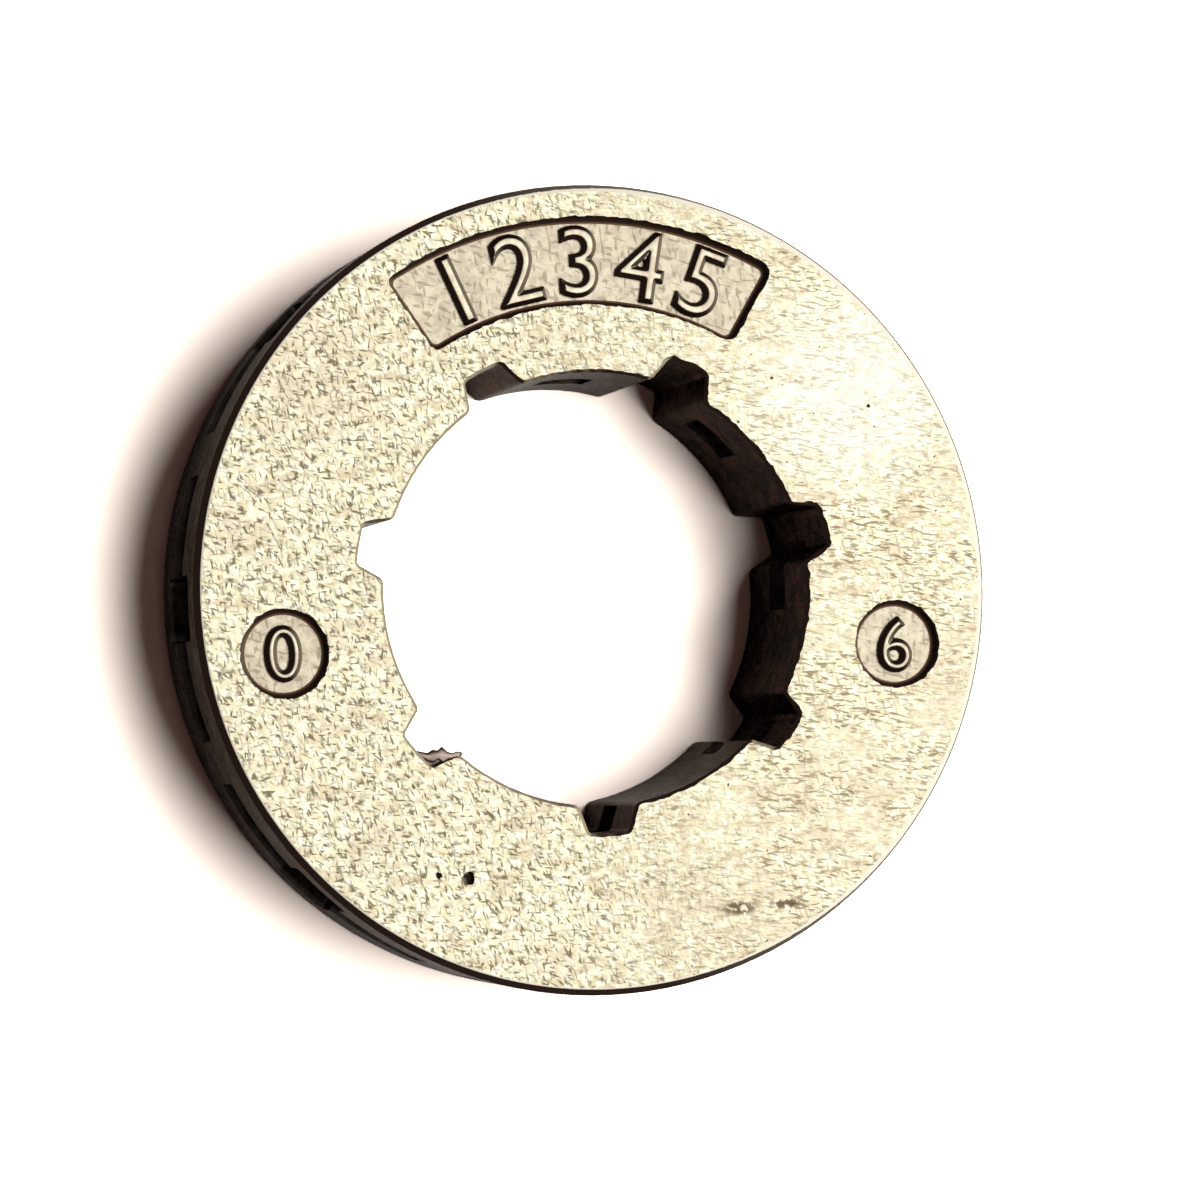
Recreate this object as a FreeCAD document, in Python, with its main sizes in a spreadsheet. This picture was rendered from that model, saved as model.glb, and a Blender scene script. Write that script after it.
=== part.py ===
import FreeCAD, Part
import math
import os
import Sketcher

# Rim sprocket for a saw chain: one steel ring, cast in one piece and ground on both faces.
# Lengths are in millimetres and angles in degrees. The ring lies on its lower face at Z = 0,
# Z is the axis of the bore, and +Y points at the middle of the long marking recess.

SPLINES = 7
POCKETS = 8

SIZES = [
    # the ring
    ("rim_diameter", 37.0),
    ("rim_width", 10.0),
    ("rim_edge_break", 0.33),
    ("bore_diameter", 19.78),
    ("bore_edge_break", 0.12),
    # the grooves that slide on the hub's splines
    ("groove_depth", 1.26),
    ("groove_mouth_width", 2.72),
    ("groove_floor_width", 1.84),
    ("groove_lip_radius", 0.4),
    ("groove_root_radius", 0.25),
    # the pockets that take the chain's drive links
    ("slot_width", 2.6),
    ("tooth_tip_width", 2.1),
    ("window_width", 2.42),
    ("cleanout_length", 3.0),
    ("cleanout_width", 6.2),
    ("cleanout_corner", 0.5),
    ("cleanout_depth", 4.5),
    # the marking recesses in the upper face; the walls are shares of the ring's own wall
    ("mark_depth", 0.6),
    ("label_inner_wall_share", 0.252),
    ("label_outer_wall_share", 0.204),
    ("label_half_angle", 32.3),
    ("label_corner", 0.5),
    ("left_disc_inset", 0.3),
    ("left_disc_drop_angle", 9.0),
    ("right_disc_inset", 0.55),
    ("right_disc_drop_angle", 12.6),
]

# sizes that follow from the ones above
DERIVED = [
    ("floor_radius", "bore_diameter / 2 + groove_depth"),
    ("ring_wall", "rim_diameter / 2 - floor_radius"),
    ("label_inner_radius", "floor_radius + label_inner_wall_share * ring_wall"),
    ("label_outer_radius", "rim_diameter / 2 - label_outer_wall_share * ring_wall"),
    ("label_middle_radius", "(label_inner_radius + label_outer_radius) / 2"),
    ("disc_radius", "(label_outer_radius - label_inner_radius) / 2"),
    ("left_disc_reach", "label_middle_radius - left_disc_inset"),
    ("left_disc_across", "left_disc_reach * cos(left_disc_drop_angle * 1deg)"),
    ("left_disc_down", "left_disc_reach * sin(left_disc_drop_angle * 1deg)"),
    ("right_disc_reach", "label_middle_radius - right_disc_inset"),
    ("right_disc_across", "right_disc_reach * cos(right_disc_drop_angle * 1deg)"),
    ("right_disc_down", "right_disc_reach * sin(right_disc_drop_angle * 1deg)"),
]

# how far a cutting outline runs on into the open, past the metal that it cuts
OVERRUN = 1.5
# two places that are closer than this are one place
SAME_PLACE = 0.01

doc = FreeCAD.newDocument("RimSprocket")

sheet = doc.addObject("Spreadsheet::Sheet", "sizes")
cells = [(alias, str(value)) for alias, value in SIZES]
cells += [(alias, f"={formula}") for alias, formula in DERIVED]
for row, (alias, content) in enumerate(cells, start=1):
    sheet.set(f"A{row}", alias)
    sheet.set(f"B{row}", content)
    sheet.setAlias(f"B{row}", alias)
doc.recompute()

body = doc.addObject("PartDesign::Body", "rim_sprocket")
body.Label = "rim_sprocket"
body.Placement = FreeCAD.Placement()


def size(alias):
    """The present value of a driving size."""
    return float(sheet.get(alias))


def new_sketch(name, role, lift=None):
    """A sketch on one of the body's origin planes, raised along its normal by an expression."""
    sketch = body.newObject("Sketcher::SketchObject", name)
    plane = next(f for f in body.Origin.OriginFeatures if f.Role == role)
    sketch.AttachmentSupport = [(plane, "")]
    sketch.MapMode = "FlatFace"
    if lift:
        sketch.setExpression("AttachmentOffset.Base.z", lift)
    return sketch


def line(sketch, start, end):
    """A straight line; returns its number in the sketch."""
    segment = Part.LineSegment(FreeCAD.Vector(*start, 0), FreeCAD.Vector(*end, 0))
    return sketch.addGeometry(segment, False)


def circle(sketch, centre, radius):
    """A full circle; returns its number in the sketch."""
    outline = Part.Circle(FreeCAD.Vector(*centre, 0), FreeCAD.Vector(0, 0, 1), radius)
    return sketch.addGeometry(outline, False)


def arc(sketch, centre, radius, start_angle, end_angle):
    """An arc that runs counter-clockwise between two angles in radians."""
    full = Part.Circle(FreeCAD.Vector(*centre, 0), FreeCAD.Vector(0, 0, 1), radius)
    return sketch.addGeometry(Part.ArcOfCircle(full, start_angle, end_angle), False)


def tie(sketch, kind, *refs):
    """A constraint with no size, such as Coincident or Vertical."""
    sketch.addConstraint(Sketcher.Constraint(kind, *refs))


def bind(sketch, name, kind, refs, expression):
    """A named dimension that starts at what is drawn and follows an expression of the sizes."""
    if kind == "Radius":
        drawn = sketch.Geometry[refs[0]].Radius
    else:
        step = sketch.getPoint(refs[2], refs[3]) - sketch.getPoint(refs[0], refs[1])
        drawn = {"DistanceX": step.x, "DistanceY": step.y, "Distance": step.Length}[kind]
    number = sketch.addConstraint(Sketcher.Constraint(kind, *refs, drawn))
    sketch.renameConstraint(number, name)
    sketch.setExpression(f"Constraints.{name}", expression)


def bound_point(sketch, name, on_line, kind, spot, expressions):
    """A construction point that holds a line to a circle about the origin, at a set offset."""
    reach_expression, offset_expression = expressions
    number = sketch.addGeometry(Part.Point(FreeCAD.Vector(*spot, 0)), True)
    tie(sketch, "PointOnObject", number, 1, on_line)
    bind(sketch, f"{name}_radius", "Distance", (-1, 1, number, 1), reach_expression)
    bind(sketch, f"{name}_offset", kind, (-1, 1, number, 1), offset_expression)


def pocket(name, sketch, length=None, **settings):
    """Cut the sketch's outline out of the body and check that metal went away."""
    before = body.Tip.Shape.Volume
    cut = body.newObject("PartDesign::Pocket", name)
    cut.Profile = sketch
    for key, value in settings.items():
        setattr(cut, key, value)
    if length:
        cut.setExpression("Length", length)
    doc.recompute()
    if not cut.Shape.Volume < before:
        raise RuntimeError(f"{name} cuts nothing")
    return cut


def repeat(name, cuts, sketch, count):
    """Copies of cuts, evenly spaced about the axis of the bore."""
    pattern = body.newObject("PartDesign::PolarPattern", name)
    pattern.Originals = cuts
    pattern.Axis = (sketch, ["N_Axis"])
    pattern.Angle = 360
    pattern.Occurrences = count
    body.Tip = pattern
    doc.recompute()
    return pattern


def upright_edges(feature, radius, offset, turns):
    """Names of the edges along Z that stand at these places about the axis."""
    along = math.sqrt(radius**2 - offset**2)
    places = []
    for turn in turns:
        rotation = FreeCAD.Rotation(FreeCAD.Vector(0, 0, 1), turn)
        places += [rotation.multVec(FreeCAD.Vector(along, side * offset, 0)) for side in (-1, 1)]
    names = []
    for number, edge in enumerate(feature.Shape.Edges, start=1):
        if edge.BoundBox.ZLength < size("mark_depth") / 2 or edge.Curve.TypeId != "Part::GeomLine":
            continue
        middle = edge.BoundBox.Center
        middle.z = 0
        if min(middle.distanceToPoint(place) for place in places) < SAME_PLACE:
            names.append(f"Edge{number}")
    return names


# The ring: its section turned about the axis, with the outer corners broken.
bore_radius = size("bore_diameter") / 2
rim_radius = size("rim_diameter") / 2
width = size("rim_width")
edge_break = size("rim_edge_break")

section = new_sketch("ring_section", "XZ_Plane")
corners = [
    (bore_radius, 0),
    (rim_radius - edge_break, 0),
    (rim_radius, edge_break),
    (rim_radius, width - edge_break),
    (rim_radius - edge_break, width),
    (bore_radius, width),
]
sides = [line(section, start, end) for start, end in zip(corners, corners[1:] + corners[:1])]
for first, second in zip(sides, sides[1:] + sides[:1]):
    tie(section, "Coincident", first, 2, second, 1)
lower, rim, upper, bore = sides[0], sides[2], sides[4], sides[5]
tie(section, "PointOnObject", lower, 1, -1)
tie(section, "Horizontal", lower)
tie(section, "Horizontal", upper)
tie(section, "Vertical", rim)
tie(section, "Vertical", bore)
bind(section, "bore_radius", "DistanceX", (-1, 1, lower, 1), "sizes.bore_diameter / 2")
bind(section, "rim_radius", "DistanceX", (-1, 1, rim, 1), "sizes.rim_diameter / 2")
bind(section, "width", "DistanceY", (-1, 1, upper, 1), "sizes.rim_width")
bind(section, "lower_break_in", "DistanceX", (lower, 2, rim, 1), "sizes.rim_edge_break")
bind(section, "lower_break_up", "DistanceY", (lower, 2, rim, 1), "sizes.rim_edge_break")
bind(section, "upper_break_in", "DistanceX", (upper, 1, rim, 2), "sizes.rim_edge_break")
bind(section, "upper_break_up", "DistanceY", (rim, 2, upper, 1), "sizes.rim_edge_break")

ring = body.newObject("PartDesign::Revolution", "ring")
ring.Profile = section
ring.ReferenceAxis = (section, ["V_Axis"])
ring.Angle = 360
doc.recompute()

# One hub groove, drawn on +Y and turned to stand opposite the long recess. Its sides close in
# towards the floor, which lies on a circle about the axis.
floor_radius = size("floor_radius")
half_mouth = size("groove_mouth_width") / 2
half_floor = size("groove_floor_width") / 2
mouth_y = math.sqrt(bore_radius**2 - half_mouth**2)
floor_y = math.sqrt(floor_radius**2 - half_floor**2)
inner_y = bore_radius - OVERRUN
half_inner = half_mouth + (half_mouth - half_floor) * (mouth_y - inner_y) / (floor_y - mouth_y)
floor_angle = math.asin(half_floor / floor_radius)

groove_outline = new_sketch("groove_outline", "XY_Plane")
right = line(groove_outline, (half_inner, inner_y), (half_floor, floor_y))
floor = arc(groove_outline, (0, 0), floor_radius, math.pi / 2 - floor_angle, math.pi / 2 + floor_angle)
left = line(groove_outline, (-half_floor, floor_y), (-half_inner, inner_y))
inner = line(groove_outline, (-half_inner, inner_y), (half_inner, inner_y))
tie(groove_outline, "Coincident", right, 2, floor, 1)
tie(groove_outline, "Coincident", floor, 2, left, 1)
tie(groove_outline, "Coincident", left, 2, inner, 1)
tie(groove_outline, "Coincident", inner, 2, right, 1)
tie(groove_outline, "Coincident", floor, 3, -1, 1)
tie(groove_outline, "Symmetric", right, 1, left, 2, -2)
bind(groove_outline, "floor_radius", "Radius", (floor,), "sizes.floor_radius")
bind(groove_outline, "floor_right", "DistanceX", (-1, 1, right, 2), "sizes.groove_floor_width / 2")
bind(groove_outline, "floor_left", "DistanceX", (left, 1, -1, 1), "sizes.groove_floor_width / 2")
bind(groove_outline, "inner_end", "DistanceY", (-1, 1, right, 1), f"sizes.bore_diameter / 2 - {OVERRUN}")
bound_point(
    groove_outline, "mouth", right, "DistanceX", (half_mouth, mouth_y),
    ("sizes.bore_diameter / 2", "sizes.groove_mouth_width / 2"),
)
groove_outline.AttachmentOffset = FreeCAD.Placement(
    FreeCAD.Vector(), FreeCAD.Rotation(FreeCAD.Vector(0, 0, 1), 180)
)
groove = pocket("groove", groove_outline, Type="ThroughAll", SideType="Symmetric")
grooves = repeat("grooves", [groove], groove_outline, SPLINES)

# The lips at the bore are rounded, and so are the corners at each groove's floor.
groove_turns = [-90 + 360 / SPLINES * i for i in range(SPLINES)]
lips = body.newObject("PartDesign::Fillet", "groove_lips")
lips.Base = (grooves, upright_edges(grooves, bore_radius, half_mouth, groove_turns))
lips.setExpression("Radius", "sizes.groove_lip_radius")
doc.recompute()
roots = body.newObject("PartDesign::Fillet", "groove_roots")
roots.Base = (lips, upright_edges(lips, floor_radius, half_floor, groove_turns))
roots.setExpression("Radius", "sizes.groove_root_radius")
doc.recompute()

# The bore's edge is broken all the way round the splines, on both faces.
bore_edges = []
for number, edge in enumerate(roots.Shape.Edges, start=1):
    reach = max(math.hypot(v.X, v.Y) for v in edge.Vertexes)
    if edge.BoundBox.ZLength < SAME_PLACE and reach < floor_radius + SAME_PLACE:
        bore_edges.append(f"Edge{number}")
bore_breaks = body.newObject("PartDesign::Chamfer", "bore_breaks")
bore_breaks.Base = (roots, bore_edges)
bore_breaks.setExpression("Size", "sizes.bore_edge_break")
doc.recompute()

# One drive link pocket, drawn on +X at mid width. It narrows from the mouth, which leaves a tooth
# tip on each side, and breaks through into the bore as a small window that lets chips out.
pitch_angle = 2 * math.pi / POCKETS
mouth_angle = pitch_angle / 2 - math.asin(size("tooth_tip_width") / 2 / rim_radius)
mouth_sine = f"sin(180deg / {POCKETS} - asin(sizes.tooth_tip_width / sizes.rim_diameter))"
half_window = size("window_width") / 2
window_x = math.sqrt(bore_radius**2 - half_window**2)
tip_x = rim_radius * math.cos(mouth_angle)
tip_y = rim_radius * math.sin(mouth_angle)
slope = (tip_y - half_window) / (tip_x - window_x)
near_x = bore_radius - OVERRUN
far_x = rim_radius + OVERRUN
half_near = half_window + slope * (near_x - window_x)
half_far = half_window + slope * (far_x - window_x)

slot_outline = new_sketch("slot_outline", "XY_Plane", "sizes.rim_width / 2")
upper_side = line(slot_outline, (near_x, half_near), (far_x, half_far))
mouth = line(slot_outline, (far_x, half_far), (far_x, -half_far))
lower_side = line(slot_outline, (far_x, -half_far), (near_x, -half_near))
window = line(slot_outline, (near_x, -half_near), (near_x, half_near))
tie(slot_outline, "Coincident", upper_side, 2, mouth, 1)
tie(slot_outline, "Coincident", mouth, 2, lower_side, 1)
tie(slot_outline, "Coincident", lower_side, 2, window, 1)
tie(slot_outline, "Coincident", window, 2, upper_side, 1)
tie(slot_outline, "Symmetric", upper_side, 1, lower_side, 2, -1)
tie(slot_outline, "Symmetric", upper_side, 2, lower_side, 1, -1)
bind(slot_outline, "near_end", "DistanceX", (-1, 1, upper_side, 1), f"sizes.bore_diameter / 2 - {OVERRUN}")
bind(slot_outline, "far_end", "DistanceX", (-1, 1, upper_side, 2), f"sizes.rim_diameter / 2 + {OVERRUN}")
bound_point(
    slot_outline, "window", upper_side, "DistanceY", (window_x, half_window),
    ("sizes.bore_diameter / 2", "sizes.window_width / 2"),
)
bound_point(
    slot_outline, "tip", upper_side, "DistanceY", (tip_x, tip_y),
    ("sizes.rim_diameter / 2", f"sizes.rim_diameter / 2 * {mouth_sine}"),
)
slot = pocket("slot", slot_outline, "sizes.slot_width", SideType="Symmetric")

# The middle of each slot is wider, so that packed chips work out past the tie straps.
half_length = size("cleanout_length") / 2
corner = size("cleanout_corner")
low_z = (width - size("cleanout_width")) / 2
high_z = (width + size("cleanout_width")) / 2
corner_x = half_length - corner

cleanout_outline = new_sketch(
    "cleanout_outline", "YZ_Plane", "sizes.rim_diameter / 2 - sizes.cleanout_depth"
)
sides = [
    line(cleanout_outline, (-corner_x, low_z), (corner_x, low_z)),
    line(cleanout_outline, (half_length, low_z + corner), (half_length, high_z - corner)),
    line(cleanout_outline, (corner_x, high_z), (-corner_x, high_z)),
    line(cleanout_outline, (-half_length, high_z - corner), (-half_length, low_z + corner)),
]
centres = [
    (corner_x, low_z + corner),
    (corner_x, high_z - corner),
    (-corner_x, high_z - corner),
    (-corner_x, low_z + corner),
]
rounds = [
    arc(cleanout_outline, centre, corner, (i - 1) * math.pi / 2, i * math.pi / 2)
    for i, centre in enumerate(centres)
]
for i in range(4):
    tie(cleanout_outline, "Tangent", sides[i], 2, rounds[i], 1)
    tie(cleanout_outline, "Tangent", rounds[i], 2, sides[(i + 1) % 4], 1)
for i in range(3):
    tie(cleanout_outline, "Equal", rounds[i], rounds[i + 1])
tie(cleanout_outline, "Horizontal", sides[2])
tie(cleanout_outline, "Vertical", sides[1])
tie(cleanout_outline, "Vertical", sides[3])
tie(cleanout_outline, "Symmetric", sides[0], 1, sides[0], 2, -2)
bind(cleanout_outline, "corner", "Radius", (rounds[0],), "sizes.cleanout_corner")
bind(cleanout_outline, "half_length", "DistanceX", (-1, 1, sides[1], 1), "sizes.cleanout_length / 2")
bind(
    cleanout_outline, "lower_side", "DistanceY", (-1, 1, sides[0], 1),
    "(sizes.rim_width - sizes.cleanout_width) / 2",
)
bind(
    cleanout_outline, "upper_side", "DistanceY", (-1, 1, sides[2], 1),
    "(sizes.rim_width + sizes.cleanout_width) / 2",
)
cleanout = pocket("cleanout", cleanout_outline, f"sizes.cleanout_depth + {OVERRUN}", Reversed=True)
repeat("drive_link_pockets", [slot, cleanout], slot_outline, POCKETS)

# The long recess in the upper face, a band between two arcs about the axis with radial ends.
label_angle = math.radians(size("label_half_angle"))
inner_radius = size("label_inner_radius")
outer_radius = size("label_outer_radius")


def at(radius, side):
    """End of a label arc, to the right or left of +Y."""
    return (side * radius * math.sin(label_angle), radius * math.cos(label_angle))


label_outline = new_sketch("label_outline", "XY_Plane", "sizes.rim_width")
outer_arc = arc(label_outline, (0, 0), outer_radius, math.pi / 2 - label_angle, math.pi / 2 + label_angle)
inner_arc = arc(label_outline, (0, 0), inner_radius, math.pi / 2 - label_angle, math.pi / 2 + label_angle)
left_end = line(label_outline, at(outer_radius, -1), at(inner_radius, -1))
right_end = line(label_outline, at(inner_radius, 1), at(outer_radius, 1))
tie(label_outline, "Coincident", outer_arc, 3, -1, 1)
tie(label_outline, "Coincident", inner_arc, 3, -1, 1)
tie(label_outline, "Coincident", outer_arc, 2, left_end, 1)
tie(label_outline, "Coincident", left_end, 2, inner_arc, 2)
tie(label_outline, "Coincident", inner_arc, 1, right_end, 1)
tie(label_outline, "Coincident", right_end, 2, outer_arc, 1)
label_sine = "sin(sizes.label_half_angle * 1deg)"
bind(label_outline, "outer_radius", "Radius", (outer_arc,), "sizes.label_outer_radius")
bind(label_outline, "inner_radius", "Radius", (inner_arc,), "sizes.label_inner_radius")
for name, geo in (("outer", outer_arc), ("inner", inner_arc)):
    reach = f"sizes.label_{name}_radius * {label_sine}"
    bind(label_outline, f"{name}_right", "DistanceX", (-1, 1, geo, 1), reach)
    bind(label_outline, f"{name}_left", "DistanceX", (geo, 2, -1, 1), reach)
label = pocket("label_recess", label_outline, "sizes.mark_depth")

label_corners = body.newObject("PartDesign::Fillet", "label_corners")
label_corners.Base = (
    label,
    upright_edges(label, inner_radius, inner_radius * math.sin(label_angle), [90])
    + upright_edges(label, outer_radius, outer_radius * math.sin(label_angle), [90]),
)
label_corners.setExpression("Radius", "sizes.label_corner")
doc.recompute()

# Two round recesses as wide as the long one, a little below the bore's middle, left and right.
disc_outline = new_sketch("disc_outline", "XY_Plane", "sizes.rim_width")
left_centre = (-size("left_disc_across"), -size("left_disc_down"))
right_centre = (size("right_disc_across"), -size("right_disc_down"))
left_disc = circle(disc_outline, left_centre, size("disc_radius"))
right_disc = circle(disc_outline, right_centre, size("disc_radius"))
bind(disc_outline, "left_across", "DistanceX", (left_disc, 3, -1, 1), "sizes.left_disc_across")
bind(disc_outline, "left_down", "DistanceY", (left_disc, 3, -1, 1), "sizes.left_disc_down")
bind(disc_outline, "right_across", "DistanceX", (-1, 1, right_disc, 3), "sizes.right_disc_across")
bind(disc_outline, "right_down", "DistanceY", (right_disc, 3, -1, 1), "sizes.right_disc_down")
bind(disc_outline, "disc_radius", "Radius", (left_disc,), "sizes.disc_radius")
tie(disc_outline, "Equal", left_disc, right_disc)
pocket("disc_recesses", disc_outline, "sizes.mark_depth")

for feature in doc.Objects:
    if "Invalid" in feature.State or "Error" in feature.State:
        raise RuntimeError(f"{feature.Name} failed: {feature.State}")
if body.Shape.isNull() or not body.Shape.isValid() or len(body.Shape.Solids) != 1:
    raise RuntimeError("the ring is not one valid solid")

os.makedirs("parts", exist_ok=True)
body.Shape.exportStep(os.path.join("parts", f"{body.Label}.step"))
box = body.Shape.BoundBox
print(
    f"{body.Label}: {box.XLength:.2f} x {box.YLength:.2f} x {box.ZLength:.2f} mm,",
    f"{body.Shape.Volume:.1f} mm3",
)
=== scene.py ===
# %% [markdown]
# # A rim sprocket in Blender
# The part comes from CAD as a fixed frame: one steel ring, flat on a table, with its long marking
# recess towards +Y. This script adds what CAD leaves out: the worn edges, the raised numerals, the
# finish of each surface, the table and the light. Lengths are written in millimetres and turned
# into Blender's metres with MM. Only the materials work in millimetres throughout.

import bmesh
import bpy
import math
from mathutils import Matrix, Vector, noise


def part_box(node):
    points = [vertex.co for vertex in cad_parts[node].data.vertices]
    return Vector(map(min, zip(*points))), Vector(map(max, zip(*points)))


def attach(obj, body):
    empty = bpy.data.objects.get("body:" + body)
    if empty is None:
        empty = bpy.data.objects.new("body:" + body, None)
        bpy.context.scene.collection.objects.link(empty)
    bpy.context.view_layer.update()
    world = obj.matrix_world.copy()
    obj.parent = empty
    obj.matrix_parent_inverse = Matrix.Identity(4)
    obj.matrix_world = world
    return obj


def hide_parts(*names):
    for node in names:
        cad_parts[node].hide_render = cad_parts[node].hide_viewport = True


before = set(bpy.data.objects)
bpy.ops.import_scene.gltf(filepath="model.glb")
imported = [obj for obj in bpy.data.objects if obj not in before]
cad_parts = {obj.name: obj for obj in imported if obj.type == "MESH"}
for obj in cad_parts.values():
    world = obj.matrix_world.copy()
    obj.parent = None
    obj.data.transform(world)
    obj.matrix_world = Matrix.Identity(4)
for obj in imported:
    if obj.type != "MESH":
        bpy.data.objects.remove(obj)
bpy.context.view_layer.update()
MM = 0.001

# %% [markdown]
# ## The camera
# The real camera stood close above the ring and a little to its left, so the ring's outer wall
# shows on the left and the wall of the bore on the right. A long lens from 0.2 m gives the same
# shapes. The camera's axes are built from three facts: where it stands, the spot on the upper
# face that it looks at, and the direction in the table's plane that runs across the picture.

# %% Camera
CAMERA_SPOT = Vector((-49.47, -6.64, 217.89)) * MM
CAMERA_AIM = Vector((-0.17, -0.24, 10.0)) * MM
CAMERA_TURN = math.radians(-2.44)
CAMERA_LENS = 142.27
CAMERA_NEAR = 10 * MM


def add_camera():
    back = (CAMERA_SPOT - CAMERA_AIM).normalized()
    across = Vector((math.cos(CAMERA_TURN), math.sin(CAMERA_TURN), 0))
    up = back.cross(across).normalized()
    right = up.cross(back)
    axes = Matrix((right, up, back)).transposed().to_4x4()
    camera = bpy.data.objects.new("camera", bpy.data.cameras.new("camera"))
    camera.matrix_world = Matrix.Translation(CAMERA_SPOT) @ axes
    camera.data.lens = CAMERA_LENS
    camera.data.clip_start = CAMERA_NEAR
    bpy.context.scene.collection.objects.link(camera)
    bpy.context.scene.camera = camera


add_camera()
print("camera", round((CAMERA_SPOT - CAMERA_AIM).length / MM), "mm away, lens", CAMERA_LENS)

# %% [markdown]
# ## A copy of the ring that can be worn
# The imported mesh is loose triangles. A copy is merged into one skin and its upper face is taken
# off, so that the outlines of that face are open edges; it is laid anew once they are worn. Flat
# neighbours among the walls are dissolved into single faces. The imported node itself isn't touched:
# the worn copy stands for it.

# %% Merge the copy
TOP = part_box("rim_sprocket")[1].z
SAME = 0.001 * MM
FLAT = 0.99
FLAT_ANGLE = math.radians(0.2)


def faces_up(face):
    return face.normal.z > FLAT


def on_top(face):
    return face.calc_center_median().z > TOP - SAME


skin = bmesh.new()
skin.from_mesh(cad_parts["rim_sprocket"].data)
bmesh.ops.remove_doubles(skin, verts=skin.verts, dist=SAME)
print("ring:", len(skin.faces), "faces,", sum(not e.is_manifold for e in skin.edges), "open edges")
upper_face = [face for face in skin.faces if faces_up(face) and on_top(face)]
bmesh.ops.delete(skin, geom=upper_face, context="FACES")
bmesh.ops.dissolve_limit(skin, angle_limit=FLAT_ANGLE, verts=skin.verts, edges=skin.edges)
print("without its upper face:", len(skin.faces), "faces")

# %% [markdown]
# ## Ragged edges
# Grinding the faces tore the metal a little where they end: the rim of the bore is the worst,
# above all on the right. Each edge of the upper face is cut into short steps, and every step is
# moved back into the metal by its own small amount of noise, which keeps the face flat. The bore's
# edge is broken, and the lower side of that break is cut in the same way and moved down.

# %% Cut the edges into steps
STEP = 0.14 * MM
BREAK_REACH = 11.5 * MM
BREAK_HIGH = TOP - 0.05 * MM
BREAK_LOW = TOP - 0.2 * MM


def upper_face_edges():
    return [edge for edge in skin.edges if edge.is_boundary]


def bore_break_edges():
    """The lower side of the bore's broken edge."""
    found = []
    for edge in skin.edges:
        heights = [v.co.z for v in edge.verts]
        level = abs(heights[0] - heights[1]) < SAME
        near = max(v.co.xy.length for v in edge.verts) < BREAK_REACH
        if near and level and BREAK_LOW < heights[0] < BREAK_HIGH:
            found.append(edge)
    return found


def cut_into_steps(edges):
    """Cut these edges so that no step along them is longer than STEP."""
    by_cuts = {}
    for edge in edges:
        by_cuts.setdefault(int(edge.calc_length() / STEP), []).append(edge)
    for cuts, group in by_cuts.items():
        if cuts:
            group = [edge for edge in group if edge.is_valid]
            bmesh.ops.subdivide_edges(skin, edges=group, cuts=cuts)


def ends_of(edges):
    return list({v for edge in edges for v in edge.verts})


cut_into_steps(upper_face_edges())
cut_into_steps(bore_break_edges())
rough_top = ends_of(upper_face_edges())
rough_break = ends_of(bore_break_edges())
print("edge steps:", len(rough_top), "on the upper face,", len(rough_break), "under the bore's edge")

# %% How deep the chips are
CHIP_SIZE = 0.45 * MM
CHIP_FALL = 0.8
CHIP_FINER = 2.1
CHIP_LAYERS = 3
CHIP_LEVEL = 0.35
CHIP_SWING = 0.9

BORE_END = 11.6 * MM
RIM_START = 17.8 * MM
BORE_CHIP = 0.11 * MM
MARK_CHIP = 0.09 * MM
RIM_CHIP = 0.03 * MM
LEFT_SHARE = 0.25


def chip(place, seed):
    """Noise from 0 to 1 that is mostly low, with a few deep bites."""
    spot = place / CHIP_SIZE + Vector((0, 0, seed))
    value = noise.fractal(spot, CHIP_FALL, CHIP_FINER, CHIP_LAYERS)
    return max(0.0, min(1.0, CHIP_LEVEL + CHIP_SWING * value))


def chip_depth(place):
    """The deepest bite allowed at a place: least on the rim, most on the right of the bore."""
    reach = place.xy.length
    if reach > RIM_START:
        return RIM_CHIP
    if reach > BORE_END:
        return MARK_CHIP
    rightness = 0.5 + 0.5 * place.x / reach
    return BORE_CHIP * (LEFT_SHARE + (1 - LEFT_SHARE) * rightness)


# %% Move the steps
TOP_SEED = 0
BREAK_SEED = 5


def void_side(vertex):
    """The direction in the upper face's plane that leads out of the metal."""
    total = Vector((0, 0, 0))
    for face in vertex.link_faces:
        total += face.normal
    total.z = 0
    return total.normalized() if total.length > 0 else total


def shared_directions(edges, directions, passes):
    """Let each direction lean towards its neighbours', so that steps near a corner don't cross."""
    for _ in range(passes):
        total = {v: direction.copy() for v, direction in directions.items()}
        for edge in edges:
            first, second = edge.verts
            total[first] += directions[second]
            total[second] += directions[first]
        directions = {v: direction.normalized() for v, direction in total.items()}
    return directions


skin.normal_update()
outlines = upper_face_edges()
outward = shared_directions(outlines, {v: void_side(v) for v in rough_top}, passes=3)
moves = [(v, -outward[v] * chip_depth(v.co) * chip(v.co, TOP_SEED)) for v in rough_top]
for v in rough_break:
    moves.append((v, Vector((0, 0, -chip_depth(v.co) * chip(v.co, BREAK_SEED)))))
for vertex, move in moves:
    vertex.co += move
print("deepest chip:", round(max(m.length for _, m in moves) / MM, 3), "mm")

# %% [markdown]
# The upper face is then laid anew inside its ragged outlines. Filling works with a fixed tolerance:
# in metres, points a few hundredths of a millimetre apart would count as one. So the skin is blown
# up to one unit a millimetre for it.

# %% Lay the upper face anew
bmesh.ops.scale(skin, vec=Vector((1, 1, 1)) / MM, verts=skin.verts)
laid = bmesh.ops.triangle_fill(skin, use_beauty=True, edges=outlines, normal=(0, 0, 1))["geom"]
laid = [part for part in laid if isinstance(part, bmesh.types.BMFace)]
print("upper face:", len(laid), "triangles,", round(sum(f.calc_area() for f in laid), 1), "mm2")
bmesh.ops.scale(skin, vec=Vector((1, 1, 1)) * MM, verts=skin.verts)

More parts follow.
